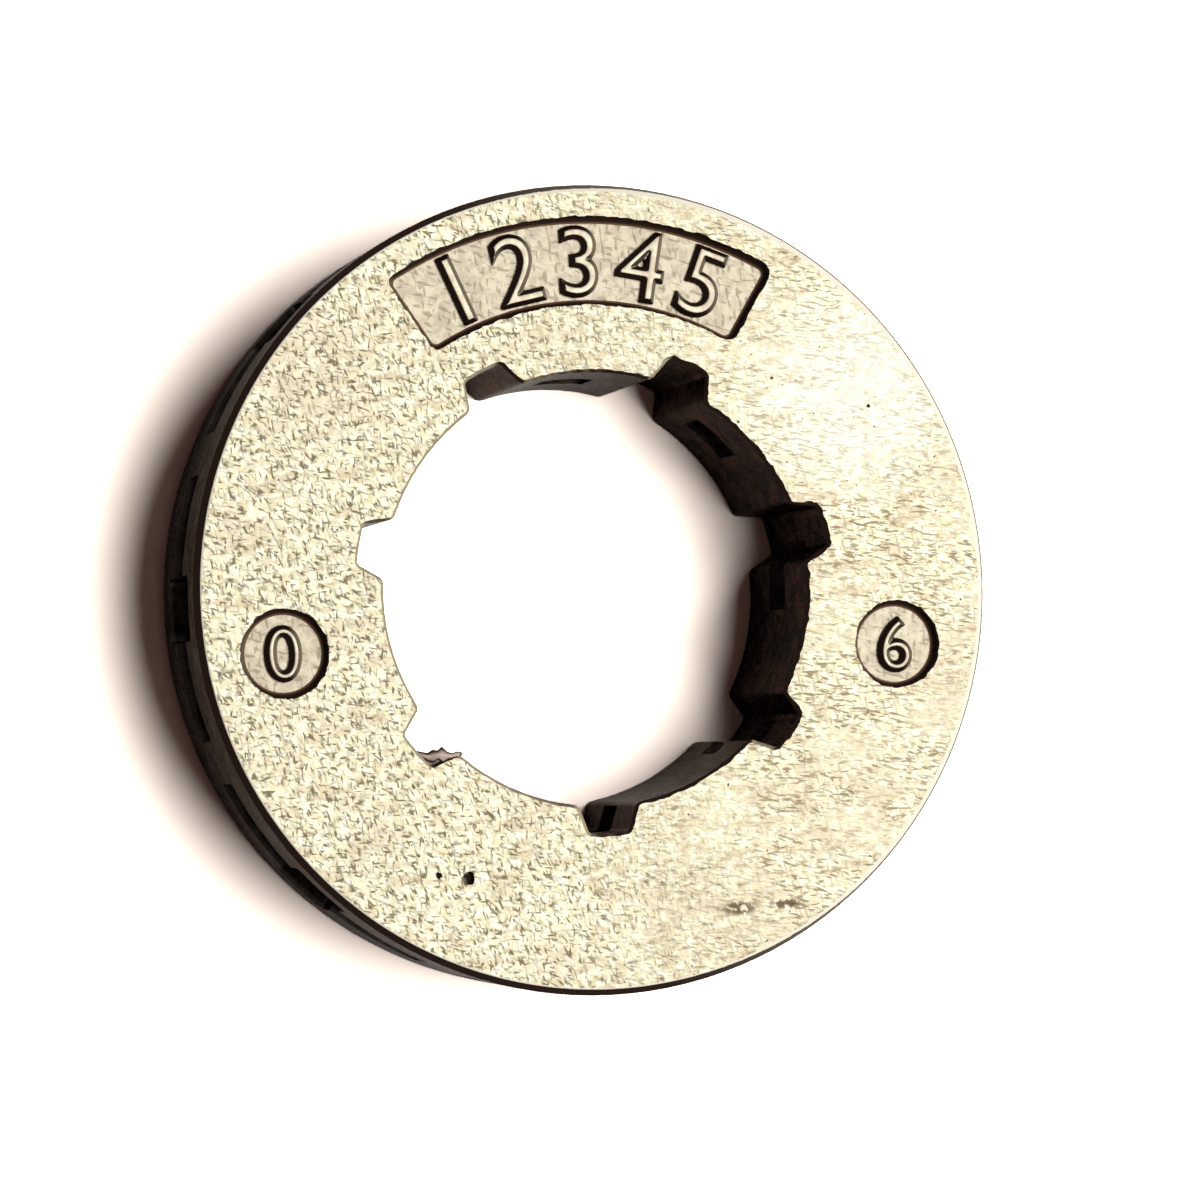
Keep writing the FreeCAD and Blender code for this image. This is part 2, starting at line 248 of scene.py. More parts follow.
# %% [markdown]
# ## Soft feet in the recesses
# The recesses are cast, so their walls don't meet the floor in a sharp corner but run out in a
# short slope. Each floor is inset, and the outer side of the new strip is lifted a little.

# %% Slope the foot of each recess wall
MARK_ZONE = 1.0 * MM
FOOT_WIDTH = 0.25 * MM
FOOT_RISE = 0.14 * MM


def in_recess(face):
    return TOP - MARK_ZONE < face.calc_center_median().z < TOP - SAME


floors = [face for face in skin.faces if faces_up(face) and in_recess(face)]
feet = bmesh.ops.inset_region(skin, faces=floors, thickness=FOOT_WIDTH, use_even_offset=True)["faces"]
floor_points = {v for face in floors for v in face.verts}
wall_points = {v for face in feet for v in face.verts} - floor_points
bmesh.ops.translate(skin, verts=list(wall_points), vec=(0, 0, FOOT_RISE))
print("recess floors:", len(floors), "with", len(feet), "faces of slope round them")

# %% [markdown]
# ## Which finish goes where
# The real ring has five finishes. Both faces are ground bright. The floors of the marking recesses
# stay as they were cast, a little greyer. The walls are dark steel, and the rim's broken edges are
# worn, with painted shade towards the left. The low walls round the recesses and the torn edge of the
# bore are painted almost black as shade. Each face of the mesh gets the slot of its finish.

# %% Sort the faces
GROUND, FLOOR, WALL, EDGE, MARK = range(5)
RIM_ZONE = 17.9 * MM
EDGE_ZONE = 0.4 * MM
SLOPING = 0.5
SHARP_ANGLE = math.radians(25)


def finish_of(face):
    """A finish from where a face looks and where it lies."""
    middle = face.calc_center_median()
    flatness = abs(face.normal.z)
    if flatness > FLAT:
        if middle.z > TOP - SAME or middle.z < SAME:
            return GROUND
        return FLOOR if middle.z > TOP - MARK_ZONE else WALL
    if middle.xy.length < RIM_ZONE:
        return MARK if all(v.co.z > TOP - MARK_ZONE for v in face.verts) else WALL
    near_end = min(middle.z, TOP - middle.z) < EDGE_ZONE
    return EDGE if flatness > SLOPING and near_end else WALL


skin.normal_update()
counts = [0] * 5
for face in skin.faces:
    face.material_index = finish_of(face)
    face.smooth = True
    counts[face.material_index] += 1
for edge in skin.edges:
    edge.smooth = edge.is_manifold and edge.calc_face_angle(0.0) < SHARP_ANGLE
print("faces by finish: ground, floor, wall, edge, mark =", counts)

# %% [markdown]
# ## Small helpers for materials
# Every finish is a Principled shader fed by noise. The noise reads Object coordinates scaled to
# millimetres, so a scale of 3 means three lumps to the millimetre on the real ring. The first
# helpers make nodes and do sums with them. In the names of a node's inputs, an underscore stands
# for a space.

# %% Nodes and sums
def feed(tree, socket, value):
    """A value or a link on one input."""
    if isinstance(value, bpy.types.NodeSocket):
        tree.links.new(value, socket)
    else:
        socket.default_value = value


def set_inputs(tree, node, **inputs):
    for key, value in inputs.items():
        feed(tree, node.inputs[key.replace("_", " ")], value)


def add_node(tree, kind, settings=None, **inputs):
    """A node with settings on the node and values or links on its inputs."""
    node = tree.nodes.new(kind)
    for key, value in (settings or {}).items():
        setattr(node, key, value)
    set_inputs(tree, node, **inputs)
    return node


def new_material(name):
    """A material with its tree, its shader and the coordinates in millimetres."""
    material = bpy.data.materials.new(name)
    material.use_nodes = True
    tree = material.node_tree
    metres = add_node(tree, "ShaderNodeTexCoord").outputs["Object"]
    place = add_node(tree, "ShaderNodeMapping", Vector=metres, Scale=(1 / MM, 1 / MM, 1 / MM))
    return material, tree, tree.nodes["Principled BSDF"], place.outputs["Vector"]


def maths(tree, operation, first, second=0.0):
    node = add_node(tree, "ShaderNodeMath", {"operation": operation})
    feed(tree, node.inputs[0], first)
    feed(tree, node.inputs[1], second)
    return node.outputs["Value"]


def times(tree, first, second):
    return maths(tree, "MULTIPLY", first, second)


def plus(tree, first, second):
    return maths(tree, "ADD", first, second)


def larger(tree, first, second):
    return maths(tree, "MAXIMUM", first, second)


def one_less(tree, value):
    """One less this value: 1 where it is 0, and 0 where it is 1."""
    return maths(tree, "SUBTRACT", 1.0, value)


def fade(tree, value, start, end):
    """0 at start and 1 at end, with a soft step between; start may be the larger."""
    soft = {"interpolation_type": "SMOOTHSTEP"}
    node = add_node(tree, "ShaderNodeMapRange", soft, Value=value, From_Min=start, From_Max=end)
    return node.outputs["Result"]


def spread(tree, value, low, high):
    """A value from 0 to 1 spread from low to high."""
    return add_node(tree, "ShaderNodeMapRange", Value=value, To_Min=low, To_Max=high).outputs["Result"]


def blend(tree, factor, low, high):
    """One colour turning into another."""
    node = add_node(tree, "ShaderNodeMix", {"data_type": "RGBA"})
    feed(tree, node.inputs[0], factor)
    feed(tree, node.inputs[6], low)
    feed(tree, node.inputs[7], high)
    return node.outputs[2]


# %% [markdown]
# The next helpers are the patterns that the finishes share. Grain is plain noise that can be drawn
# out along an axis, worms are its middle level, and dashes are its peaks. A finish can also ask a
# surface which way it looks and how far from the axis it lies, or mark a soft spot on the ring.

# %% Patterns and places
DASH_PEAKS = (0.59, 0.70)
SPOT_RIM = (1.0, 0.35)


def grain(tree, place, scale, detail=2.0, distortion=0.0, stretch=(1, 1, 1), shift=(0, 0, 0)):
    """Noise with this many lumps to the millimetre, drawn out along an axis by a stretch."""
    finer = [1 / s for s in stretch]
    drawn = add_node(tree, "ShaderNodeMapping", Vector=place, Location=shift, Scale=finer)
    texture = add_node(
        tree, "ShaderNodeTexNoise",
        Vector=drawn.outputs["Vector"], Scale=scale, Detail=detail, Distortion=distortion,
    )
    return texture.outputs["Fac"]


def worms(tree, value, width):
    """Thin winding lines where a noise crosses its middle value."""
    off_middle = maths(tree, "ABSOLUTE", maths(tree, "SUBTRACT", value, 0.5))
    return fade(tree, off_middle, width, 0.0)


def dashes(tree, place, scale, turn, stretch, shift):
    """Short strokes along one direction: the peaks of a drawn-out noise."""
    turned = add_node(tree, "ShaderNodeMapping", Vector=place, Rotation=(0, 0, turn))
    peaks = grain(
        tree, turned.outputs["Vector"], scale,
        detail=0.5, distortion=0.4, stretch=stretch, shift=(shift, 2 * shift, 0),
    )
    return fade(tree, peaks, *DASH_PEAKS)


def direction(tree):
    """The way the surface looks, as X, Y and Z."""
    normal = add_node(tree, "ShaderNodeTexCoord").outputs["Normal"]
    return add_node(tree, "ShaderNodeSeparateXYZ", Vector=normal).outputs


def length_of(tree, vector):
    node = add_node(tree, "ShaderNodeVectorMath", {"operation": "LENGTH"}, Vector=vector)
    return node.outputs["Value"]


def axis_distance(tree, place):
    """The distance from the ring's axis in millimetres."""
    flat = add_node(tree, "ShaderNodeVectorMath", {"operation": "MULTIPLY"}, Vector=place)
    feed(tree, flat.inputs[1], (1, 1, 0))
    return length_of(tree, flat.outputs["Vector"])


def spot_mask(tree, place, centre, size):
    """1 at a centre on the upper face, fading to 0 at a size given along X and Y."""
    centred = add_node(
        tree, "ShaderNodeMapping", {"vector_type": "TEXTURE"},
        Vector=place, Location=(*centre, TOP / MM), Scale=(*size, 1),
    )
    return fade(tree, length_of(tree, centred.outputs["Vector"]), *SPOT_RIM)


def bump(tree, shader, height, strength, depth):
    node = add_node(tree, "ShaderNodeBump", Height=height, Strength=strength, Distance=depth)
    set_inputs(tree, shader, Normal=node.outputs["Normal"])


# %% [markdown]
# ## The ground faces
# Ground and tumbled steel with a warm cast. Close up it isn't even: on the left it is covered in
# short strokes that run all ways, half a millimetre long and a tenth as wide, and towards the
# right these give way to fine streaks across the picture. Both are made of dashes that are turned
# a few ways and laid over each other, and thin hairs wind among the streaks.

# %% Strokes and streaks
STROKE_SCALE = 4.1
STROKE_STRETCH = (1.9, 0.55, 1)
STROKE_RUNS = [
    # turn, place in the noise
    (0.05, 1),
    (1.5, 4),
    (0.45, 9),
    (1.15, 14),
]
STREAK_SCALE = 3.9
STREAK_STRETCH = (2.1, 0.5, 1)
STREAK_RUNS = [
    # turn, place in the noise, strength
    (0.05, 21, 1.0),
    (0.3, 24, 1.0),
    (1.35, 27, 0.5),
]
HAIR_WIDTH = 0.028


def tumbled_strokes(tree, place):
    """Short strokes all ways, bolder in some places than in others."""
    runs = [
        dashes(tree, place, STROKE_SCALE, turn, STROKE_STRETCH, shift)
        for turn, shift in STROKE_RUNS
    ]
    strokes = runs[0]
    for run in runs[1:]:
        strokes = larger(tree, strokes, run)
    boldness = fade(tree, grain(tree, place, 2.8, detail=1.0, shift=(6, 3, 0)), 0.36, 0.62)
    return times(tree, strokes, plus(tree, 0.3, times(tree, boldness, 0.7)))


def ground_streaks(tree, place, outside_highlight):
    """Hairs and streaks across the picture, in patches, and fainter under the painted highlight."""
    winding = grain(
        tree, place, 1.7,
        detail=1.5, distortion=0.4, stretch=(2.4, 0.6, 1), shift=(8, 3, 0),
    )
    here = fade(tree, grain(tree, place, 2.2, detail=1.0), 0.46, 0.60)
    streaks = times(tree, worms(tree, winding, HAIR_WIDTH), here)
    for turn, shift, strength in STREAK_RUNS:
        streak = dashes(tree, place, STREAK_SCALE, turn, STREAK_STRETCH, shift)
        streaks = larger(tree, streaks, times(tree, streak, strength))
    patches = grain(
        tree, place, 0.55,
        detail=2.0, distortion=0.3, stretch=(1.6, 0.8, 1), shift=(2, 5, 0),
    )
    boldness = plus(tree, 0.35, times(tree, fade(tree, patches, 0.35, 0.6), 0.6))
    return times(tree, streaks, times(tree, boldness, outside_highlight))


print("marks: strokes in", len(STROKE_RUNS), "directions, streaks in", len(STREAK_RUNS))

# %% [markdown]
# Four soft clouds of another tone, pin-prick pores and two small stains lie over the steel, and a
# patch at the upper right is painted paler as a highlight. Each of them is a mask from 0 to 1.

# %% Clouds, pores and stains
CLOUD_SPOTS = [
    # centre, size
    ((-12.6, 10.0), (3.4, 4.2)),
    ((15.8, -4.4), (3.4, 3.8)),
    ((4.8, -14.4), (6.5, 2.8)),
    ((10.8, -10.2), (5.5, 4.0)),
]
STAINS = [
    ((5.9, -14.9), (1.2, 0.45)),
    ((8.1, -14.8), (1.0, 0.35)),
]
HIGHLIGHT_SPOT = ((12.4, 8.6), (6.5, 6.0))
PORE_PEAKS = (0.73, 0.79)


def cloud_mask(tree, place):
    """Faint clouds everywhere and the four that show, broken up by a finer noise."""
    faint = grain(
        tree, place, 0.33,
        detail=3.0, distortion=0.3, stretch=(1.4, 0.8, 1), shift=(4, 1, 0),
    )
    clouds = times(tree, fade(tree, faint, 0.52, 0.72), 0.5)
    finer = grain(
        tree, place, 1.1,
        detail=3.0, distortion=0.8, stretch=(1.3, 1, 1), shift=(7, 6, 0),
    )
    broken = plus(tree, 0.25, times(tree, fade(tree, finer, 0.40, 0.62), 0.6))
    for centre, size in CLOUD_SPOTS:
        spot = times(tree, spot_mask(tree, place, centre, size), broken)
        clouds = larger(tree, clouds, spot)
    return clouds


def pore_mask(tree, place):
    """Pin-prick pores and the two stains."""
    pores = grain(tree, place, 4.2, detail=1.0, distortion=0.3, shift=(9, 2, 0))
    pores = fade(tree, pores, *PORE_PEAKS)
    first, second = [spot_mask(tree, place, centre, size) for centre, size in STAINS]
    broken = fade(tree, grain(tree, place, 3.0, detail=2.0, distortion=0.6), 0.40, 0.50)
    stains = times(tree, plus(tree, first, second), broken)
    return larger(tree, pores, times(tree, stains, 0.9))


print("over the steel:", len(CLOUD_SPOTS), "clouds and", len(STAINS), "stains")

# %% [markdown]
# The finish puts them together: cream and paler steel, the painted highlight, a tan tinge, the clouds,
# the marks and the pores, each blended over what is there already. The marks and pores are also cut
# into the surface a little.

# %% Ground steel
CREAM = (0.69, 0.665, 0.485, 1)
PALE = (0.77, 0.76, 0.64, 1)
HIGHLIGHT_PALE = (0.80, 0.81, 0.73, 1)
TAN = (0.56, 0.485, 0.335, 1)
CLOUD = (0.62, 0.565, 0.43, 1)
STROKE_TONE = (0.13, 0.105, 0.05, 1)
STREAK_TONE = (0.22, 0.165, 0.08, 1)
PORE = (0.11, 0.075, 0.035, 1)
STREAKS_START = 0.0
STREAKS_FULL = 16.0
STREAKS_WANDER = 10.0


def ground_steel():
    material, tree, shader, place = new_material("ground_steel")
    across = add_node(tree, "ShaderNodeSeparateXYZ", Vector=place).outputs["X"]
    wander = times(tree, grain(tree, place, 0.3), STREAKS_WANDER)
    rightness = fade(tree, plus(tree, across, wander), STREAKS_START, STREAKS_FULL)
    # Painted highlight: a paler patch at the upper right, with fainter marks and less tan under it.
    painted_highlight = spot_mask(tree, place, *HIGHLIGHT_SPOT)
    outside_highlight = one_less(tree, times(tree, painted_highlight, 0.5))
    strokes = times(tree, tumbled_strokes(tree, place), one_less(tree, rightness))
    streaks = times(tree, ground_streaks(tree, place, outside_highlight), rightness)
    marks = plus(tree, strokes, streaks)
    dark = pore_mask(tree, place)

    tone = grain(tree, place, 2.4, detail=2.0, distortion=0.3)
    colour = blend(tree, fade(tree, tone, 0.42, 0.58), CREAM, PALE)
    colour = blend(tree, times(tree, painted_highlight, 0.6), colour, HIGHLIGHT_PALE)
    tan = grain(
        tree, place, 1.3,
        detail=3.0, distortion=0.6, stretch=(2.0, 0.8, 1), shift=(3, 8, 0),
    )
    tan = times(tree, fade(tree, tan, 0.52, 0.66), outside_highlight)
    colour = blend(tree, times(tree, tan, 0.6), colour, TAN)
    colour = blend(tree, cloud_mask(tree, place), colour, CLOUD)
    mark_tone = blend(tree, rightness, STROKE_TONE, STREAK_TONE)
    colour = blend(tree, times(tree, marks, 0.9), colour, mark_tone)
    colour = blend(tree, dark, colour, PORE)

    gloss = spread(tree, grain(tree, place, 3.0, detail=3.0), 0.58, 0.82)
    set_inputs(tree, shader, Base_Color=colour, Metallic=0.75, Roughness=gloss)
    relief = maths(tree, "SUBTRACT", grain(tree, place, 3.0, detail=3.0), plus(tree, marks, dark))
    bump(tree, shader, relief, strength=0.35, depth=0.03 * MM)
    return material


ground = ground_steel()
print("ground_steel:", len(ground.node_tree.nodes), "nodes")

# %% [markdown]
# ## The cast floors
# The recess floors are smoother than the ground faces, with soft mottling and a few flecks. The
# mottling is a helper, because the walls have it too.

# %% Cast floor
FLOOR_LIGHT = (0.59, 0.56, 0.44, 1)
FLOOR_DARK = (0.46, 0.415, 0.325, 1)
FLECK_SCALE = 3.4
FLECK_STRETCH = (1.8, 0.6, 1)


def mottle(tree, place, light, dark, scale):
    """Two tones mixed by a soft noise and freckled by a fine one; returns colour, soft and fine."""
    soft = grain(tree, place, scale, detail=4.0, distortion=0.4)
    colour = blend(tree, fade(tree, soft, 0.35, 0.65), dark, light)
    fine = grain(tree, place, scale * 5, detail=2.0)
    colour = blend(tree, times(tree, fade(tree, fine, 0.5, 0.7), 0.35), colour, dark)
    return colour, soft, fine


def cast_floor():
    material, tree, shader, place = new_material("cast_floor")
    colour, soft, fine = mottle(tree, place, FLOOR_LIGHT, FLOOR_DARK, 2.2)
    along = dashes(tree, place, FLECK_SCALE, turn=0.3, stretch=FLECK_STRETCH, shift=31)
    upright = dashes(tree, place, FLECK_SCALE, turn=1.5, stretch=FLECK_STRETCH, shift=37)
    flecks = times(tree, larger(tree, along, upright), 0.5)
    colour = blend(tree, flecks, colour, STROKE_TONE)
    set_inputs(tree, shader, Base_Color=colour, Metallic=0.6, Roughness=0.65)
    bump(tree, shader, plus(tree, soft, fine), strength=0.3, depth=0.03 * MM)
    return material


floor_steel = cast_floor()
print("cast_floor:", len(floor_steel.node_tree.nodes), "nodes")

# %% [markdown]
# ## The walls
# The rim's wall is dark steel, glossy enough to show the light and shadow on the table beside it, with
# fine lines left by the lathe, and painted darker as shade where it looks down the picture. The
# pockets and the bore are painted darker still as shade, and the lines there run along the axis, as
# the broach went. Where the bore's wall looks up the picture it is painted lighter as light, as light
# as the rim between the grooves, and a little lighter than the rest inside them. The floors of the
# pockets are dull.

# %% Dark wall
WALL_LIGHT = (0.17, 0.145, 0.125, 1)
WALL_DARK = (0.095, 0.078, 0.065, 1)
# The dark tones inside the pockets and the bore are painted shade.
INNER_LIGHT = (0.085, 0.062, 0.046, 1)
INNER_DARK = (0.024, 0.016, 0.011, 1)
LAND_TO_GROOVE = (10.8, 10.2)
BORE_TO_RIM = (18.25, 18.35)
TURNED_LINES = (14, 14, 0.5)
BROACHED_LINES = (0.5, 0.5, 9)


def wall_lines(tree, place, on_rim):
    """Fine lines round the rim and along the axis inside."""
    turned = grain(tree, place, 2.2, detail=3.0, stretch=TURNED_LINES)
    broached = grain(tree, place, 2.2, detail=3.0, stretch=BROACHED_LINES)
    return plus(tree, times(tree, turned, on_rim), times(tree, broached, one_less(tree, on_rim)))


def dark_wall():
    material, tree, shader, place = new_material("dark_wall")
    colour, soft, fine = mottle(tree, place, WALL_LIGHT, WALL_DARK, 1.1)
    look = direction(tree)
    reach = axis_distance(tree, place)
    # Painted light: the bore's wall is lighter where it looks up the picture, less so in the grooves.
    lit_upward = times(tree, fade(tree, look["Y"], 0.35, 0.9), fade(tree, look["X"], 0.3, -0.1))
    lit_upward = times(tree, lit_upward, plus(tree, 0.4, fade(tree, reach, *LAND_TO_GROOVE)))
    on_rim = fade(tree, reach, *BORE_TO_RIM)
    # Painted shade: the rim's wall is darker where it looks down the picture.
    shaded_underneath = times(tree, fade(tree, look["Y"], -0.6, -0.9), on_rim)
    # Painted shade: the rest of the pockets and the bore take the dark inner tones.
    inside = one_less(tree, larger(tree, lit_upward, on_rim))
    lines = wall_lines(tree, place, on_rim)

    inner = blend(tree, fade(tree, soft, 0.4, 0.6), INNER_DARK, INNER_LIGHT)
    colour = blend(tree, inside, colour, inner)
    colour = blend(tree, times(tree, shaded_underneath, 0.8), colour, INNER_DARK)
    colour = blend(tree, times(tree, fade(tree, lines, 0.62, 0.38), 0.45), colour, INNER_DARK)
    dull = times(tree, fade(tree, look["Z"], 0.5, 0.95), 0.8)
    gloss = larger(tree, spread(tree, fine, 0.2, 0.38), dull)
    set_inputs(tree, shader, Base_Color=colour, Metallic=0.9, Roughness=gloss)
    set_inputs(tree, shader, Specular_Tint=(0.35, 0.3, 0.27, 1))
    relief = plus(tree, lines, times(tree, fine, 0.5))
    bump(tree, shader, relief, strength=0.3, depth=0.02 * MM)
    return material


wall_steel = dark_wall()
print("dark_wall:", len(wall_steel.node_tree.nodes), "nodes")

# %% [markdown]
# ## Painted shade and light that depend on direction
# The low walls of the recesses and the torn edge of the bore are painted almost black as shade, and
# where they look to the right they are painted lighter as light, the walls to an olive grey and the
# bore's edge paler still. The painted shade on the soft foot of each recess wall turns brown near the
# floor. The raised numerals have sides painted dark as shade and pale tops. So these materials ask the
# surface which way it looks.

# %% Painted shade and numerals
# Painted shade, and the lighter tones it turns to as painted light where a surface looks right.
PAINTED_SHADE = (0.018, 0.0075, 0.0045, 1)
FOOT_SHADE_BROWN = (0.15, 0.085, 0.05, 1)
LIT_OLIVE = (0.26, 0.23, 0.165, 1)
BORE_EDGE_LIT = (0.42, 0.37, 0.25, 1)
WALL_TO_FOOT = (9.475, 9.41)
BORE_TO_FACE = (11.5, 11.7)


def painted_side_shade(tree, look):
    """Painted shade, near black, that gives way to olive grey as painted light where the surface looks
    to the right.
    """
    return blend(tree, fade(tree, look["X"], 0.25, 0.85), PAINTED_SHADE, LIT_OLIVE)


def painted_shade_steel():
    material, tree, shader, place = new_material("painted_shade_steel")
    look = direction(tree)
    # Painted shade and light: the bore's torn edge is dark where it looks left, pale where it looks
    # right.
    bore_edge = blend(tree, fade(tree, look["X"], -0.1, 0.45), PAINTED_SHADE, BORE_EDGE_LIT)
    height = add_node(tree, "ShaderNodeSeparateXYZ", Vector=place).outputs["Z"]
    # Painted shade on the recess walls, turning brown near the floor.
    wall = blend(tree, fade(tree, height, *WALL_TO_FOOT), painted_side_shade(tree, look), FOOT_SHADE_BROWN)
    in_face = fade(tree, axis_distance(tree, place), *BORE_TO_FACE)
    colour = blend(tree, in_face, bore_edge, wall)
    set_inputs(tree, shader, Base_Color=colour, Metallic=0.3, Roughness=0.6, Specular_IOR_Level=0.15)
    bump(tree, shader, grain(tree, place, 5.0, detail=3.0), strength=0.4, depth=0.03 * MM)
    return material


def cast_numeral():
    material, tree, shader, place = new_material("cast_numeral")
    look = direction(tree)
    tone = grain(tree, place, 2.0, detail=3.0, distortion=0.4)
    top = blend(tree, fade(tree, tone, 0.35, 0.65), FLOOR_DARK, FLOOR_LIGHT)
    # Painted shade on the numerals' sides; their tops keep the floor's tones.
    colour = blend(tree, fade(tree, look["Z"], 0.86, 0.97), painted_side_shade(tree, look), top)
    set_inputs(tree, shader, Base_Color=colour, Metallic=0.6, Roughness=0.6, Specular_IOR_Level=0.2)
    bump(tree, shader, grain(tree, place, 5.0, detail=3.0), strength=0.3, depth=0.02 * MM)
    return material


shaded_steel = painted_shade_steel()
numeral_steel = cast_numeral()
print("finishes:", shaded_steel.name, numeral_steel.name)

# %% [markdown]
# ## The rim's edge and the burr's steel
# The rim's broken edge is pale on the right, with a thin dark line where it ends, and that line widens
# towards the left until it fills the edge; the widening dark is painted shade where the edge looks
# away from the lamp. The burr is painted dark brown as shade where it bends down, and grey where it
# looks up.

# %% Worn edge with painted shade, and torn steel
EDGE_PALE = (0.92, 0.89, 0.76, 1)
RIM_LINE = (0.20, 0.185, 0.145, 1)
RIM_LINE_START = (18.39, 18.43)
LINE_WIDENS = 0.2
BURR_SHADE_BROWN = (0.03, 0.012, 0.008, 1)
BURR_TAUPE = (0.34, 0.27, 0.23, 1)


def rim_edge():
    material, tree, shader, place = new_material("rim_edge")
    look = direction(tree)
    # Painted shade: the dark line widens to fill the edge where it looks to the left.
    lean = plus(tree, look["X"], times(tree, look["Y"], 0.25))
    leftness = fade(tree, lean, 0.45, -0.1)
    line_tone = blend(tree, leftness, RIM_LINE, PAINTED_SHADE)
    reach = plus(tree, axis_distance(tree, place), times(tree, leftness, LINE_WIDENS))
    colour = blend(tree, fade(tree, reach, *RIM_LINE_START), EDGE_PALE, line_tone)
    set_inputs(tree, shader, Base_Color=colour, Metallic=0.2, Roughness=0.55, Specular_IOR_Level=0.06)
    return material


def burr_steel():
    material, tree, shader, place = new_material("burr_steel")
    # Painted shade: dark brown where the burr bends down, grey where it looks up.
    colour = blend(tree, fade(tree, direction(tree)["Z"], 0.80, 0.97), BURR_SHADE_BROWN, BURR_TAUPE)
    set_inputs(tree, shader, Base_Color=colour, Metallic=0.3, Roughness=0.55)
    bump(tree, shader, grain(tree, place, 4.0, detail=2.0), strength=0.4, depth=0.03 * MM)
    return material


edge_wear_and_shade = rim_edge()
torn_steel = burr_steel()
print("finishes:", edge_wear_and_shade.name, torn_steel.name)

# %% [markdown]
# ## Pits
# Two pits sit in the upper face near the lower left, one about 0.6 mm across and one half as wide, and
# there is a pin-prick at the upper right. A boolean takes lumpy little balls out of the skin, which
# leaves real hollows whose walls take the painted shade of the recess walls.

# %% Make the ring
def link_piece(name, mesh):
    piece = bpy.data.objects.new(name, mesh)
    bpy.context.scene.collection.objects.link(piece)
    return piece


def mesh_from(shape, name):
    """The shape as a mesh of this name; the shape is used up."""
    mesh = bpy.data.meshes.new(name)
    shape.to_mesh(mesh)
    shape.free()
    return mesh


bmesh.ops.triangulate(skin, faces=skin.faces[:])
ring = link_piece("ring", mesh_from(skin, "ring_skin"))
for material in (ground, floor_steel, wall_steel, edge_wear_and_shade, shaded_steel):
    ring.data.materials.append(material)
print("ring:", len(ring.data.polygons), "triangles")

# %% Cut the pits
PITS = [
    # across, up, radius
    (-6.62, -12.85, 0.30),
    (-8.02, -12.62, 0.15),
    (13.3, 7.9, 0.09),
]
PIT_SUNK = 0.1
LUMP_SIZE = 0.35
LUMPS = 1.3


def lumpy_ball(target, centre, radius, seed):
    """A ball whose surface noise swells and shrinks."""
    made = bmesh.ops.create_icosphere(target, subdivisions=3, radius=radius)
    for vertex in made["verts"]:
        spot = vertex.co / radius * LUMPS + Vector((seed, 0, 0))
        vertex.co = vertex.co * (1 + LUMP_SIZE * noise.noise(spot)) + centre


def settled_mesh(piece, name):
    """The piece's mesh with its modifiers applied."""
    depsgraph = bpy.context.evaluated_depsgraph_get()
    mesh = bpy.data.meshes.new_from_object(piece.evaluated_get(depsgraph))
    mesh.name = name
    return mesh


def open_edges(mesh):
    probe = bmesh.new()
    probe.from_mesh(mesh)
    count = sum(not edge.is_manifold for edge in probe.edges)
    probe.free()
    return count


balls = bmesh.new()
for seed, (across, up, radius) in enumerate(PITS):
    centre = Vector((across * MM, up * MM, TOP - PIT_SUNK * radius * MM))
    lumpy_ball(balls, centre, radius * MM, seed)
cutter = link_piece("pit_cutter", mesh_from(balls, "pit_cutter"))
cutter.data.materials.append(shaded_steel)

cut = ring.modifiers.new("pits", "BOOLEAN")
cut.operation = "DIFFERENCE"
cut.solver = "EXACT"
cut.material_mode = "TRANSFER"
cut.object = cutter
bpy.context.view_layer.update()
pitted = settled_mesh(ring, "ring")
ring.modifiers.clear()
ring.data = pitted
bpy.data.objects.remove(cutter)
if not ring.data.polygons or open_edges(ring.data):
    raise RuntimeError("cutting the pits left the ring empty or open")
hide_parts("rim_sprocket")
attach(ring, "root")
names = [material.name for material in ring.data.materials]
print("ring:", len(ring.data.polygons), "faces, closed, materials", names)

# %% [markdown]
# ## Raised numerals
# The recesses hold raised marks, soft from casting, whose tops stop just under the ground face.
# Here they are plain digits in order, as on a dial: 0 on the left, 1 to 5 along the top and 6 on
# the right. Blender's own font gives the outlines. Extrusion and a flat bevel give each stroke
# its sloping sides, and a fine remesh with some smoothing melts the corners as casting does.

# %% One digit
RELIEF_TOP = 9.78 * MM
RELIEF_HEIGHT = 0.5 * MM
SIDE_SLOPE = 0.22 * MM
STROKE_OFFSET = -0.09 * MM


def digit_mesh(text, height):
    """A beveled digit of this height, centred on the origin and with its top at zero."""
    curve = bpy.data.curves.new("digit", "FONT")
    curve.body = text
    holder = link_piece("digit", curve)
    bpy.context.view_layer.update()
    curve.size = height / holder.dimensions.y
    curve.extrude = RELIEF_HEIGHT / 2 - SIDE_SLOPE
    curve.bevel_depth = SIDE_SLOPE
    curve.bevel_resolution = 0
    curve.offset = STROKE_OFFSET
    bpy.context.view_layer.update()
    mesh = settled_mesh(holder, "digit")
    xs = [v.co.x for v in mesh.vertices]
    ys = [v.co.y for v in mesh.vertices]
    middle = Vector(((min(xs) + max(xs)) / 2, (min(ys) + max(ys)) / 2, RELIEF_HEIGHT / 2))
    mesh.transform(Matrix.Translation(-middle))
    bpy.data.objects.remove(holder)
    return mesh


# %% Pieces from digits
NUMERAL_VOXEL = 0.045 * MM
MELT_SHARE = 0.5
MELT_PASSES = 6


